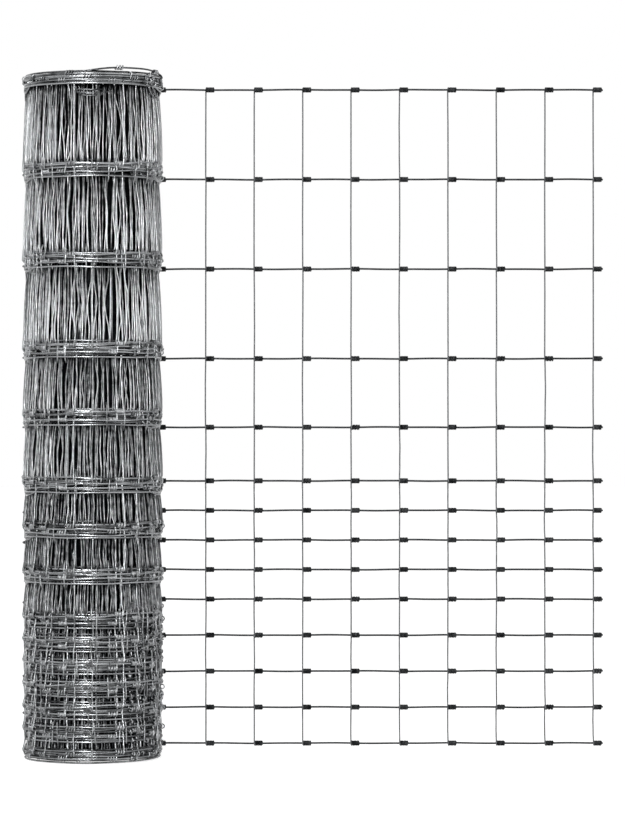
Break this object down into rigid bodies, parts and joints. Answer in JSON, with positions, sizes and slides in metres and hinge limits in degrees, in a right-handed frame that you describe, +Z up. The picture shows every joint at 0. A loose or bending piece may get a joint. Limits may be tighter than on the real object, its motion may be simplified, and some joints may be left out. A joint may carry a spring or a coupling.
{
  "type": "roll of wire fencing",
  "caption": "Roll of galvanised hinge-joint wire fencing standing on end, with its free end unrolled flat as a graduated mesh of line wires, stays and wrapped knots.",
  "frame": {"origin": "on the roll's axis at the floor it stands on", "axes": "+Z up the roll's axis, +X along the unrolled lead, which leaves the roll at its +Y side"},
  "size_m": [1.3477, 0.3334, 1.562],
  "materials": {
    "galvanised_wire": "drawn steel wire with a dull hot-dip zinc coat"
  },
  "bodies": {
    "root": {"wound_roll": "galvanised_wire", "outer_turn": "galvanised_wire", "unrolled_lead": "galvanised_wire"}
  },
  "joints": []
}
